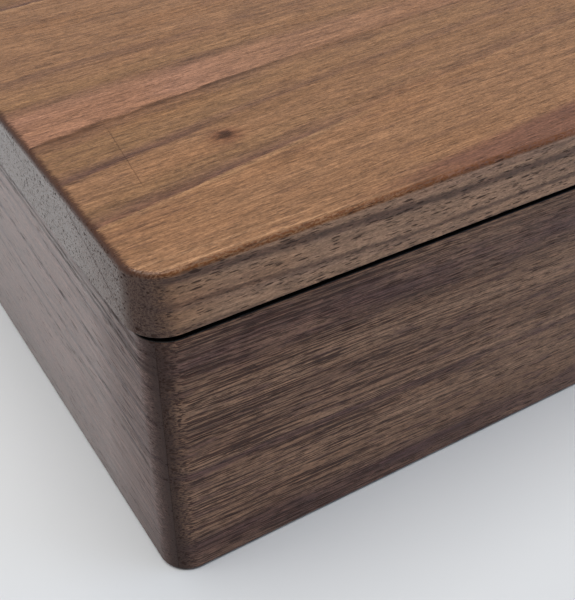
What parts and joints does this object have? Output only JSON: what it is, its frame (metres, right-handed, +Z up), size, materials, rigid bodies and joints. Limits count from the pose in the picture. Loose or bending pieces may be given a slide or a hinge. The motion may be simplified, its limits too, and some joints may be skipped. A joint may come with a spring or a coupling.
{
  "type": "wooden keepsake box",
  "caption": "Rectangular walnut box with rounded upright corners, mitred board sides, a felt-lined inside and a thick slab lid hinged at the back over a dark shadow gap.",
  "frame": {"origin": "middle of the box's underside, on the surface that it stands on", "axes": "+X along the front to the right, +Y from the front to the hinged back, +Z up"},
  "size_m": [0.2826, 0.2, 0.0851],
  "materials": {
    "walnut_board": "oiled black walnut, dark, satin",
    "walnut_lid": "oiled black walnut, warm, satin",
    "walnut_panel": "oiled black walnut, matt",
    "beech_spline": "bare wood, hidden in the joint",
    "wool_felt": "charcoal wool felt",
    "nickel_plate": "nickel plate",
    "bumper_rubber": "soft black rubber",
    "hinge_brass": "satin solid brass"
  },
  "bodies": {
    "box_body": {"front_board": "walnut_board", "right_board": "walnut_board", "back_board": "walnut_board", "left_board": "walnut_board", "mitre_spline_front_left": "beech_spline", "mitre_spline_front_right": "beech_spline", "mitre_spline_back_right": "beech_spline", "mitre_spline_back_left": "beech_spline", "bottom_panel": "walnut_panel", "base_lining": "wool_felt", "body_magnet_left": "nickel_plate", "body_magnet_right": "nickel_plate", "bumper_left": "bumper_rubber", "bumper_right": "bumper_rubber", "left_hinge_body_leaf": "hinge_brass", "left_hinge_pin": "hinge_brass", "left_hinge_body_screw_1": "hinge_brass", "left_hinge_body_screw_2": "hinge_brass", "left_hinge_body_screw_3": "hinge_brass", "right_hinge_body_leaf": "hinge_brass", "right_hinge_pin": "hinge_brass", "right_hinge_body_screw_1": "hinge_brass", "right_hinge_body_screw_2": "hinge_brass", "right_hinge_body_screw_3": "hinge_brass"},
    "lid": {"lid_board": "walnut_lid", "lid_magnet_left": "nickel_plate", "lid_magnet_right": "nickel_plate", "left_hinge_lid_leaf": "hinge_brass", "left_hinge_lid_screw_1": "hinge_brass", "left_hinge_lid_screw_2": "hinge_brass", "left_hinge_lid_screw_3": "hinge_brass", "right_hinge_lid_leaf": "hinge_brass", "right_hinge_lid_screw_1": "hinge_brass", "right_hinge_lid_screw_2": "hinge_brass", "right_hinge_lid_screw_3": "hinge_brass"}
  },
  "joints": [
    {"name": "lid_hinge", "type": "hinge", "parent": "box_body", "child": "lid", "pos_m": [0, 0.0978, 0.06955], "axis": [-1, 0, 0], "range_deg": [0, 95]}
  ]
}
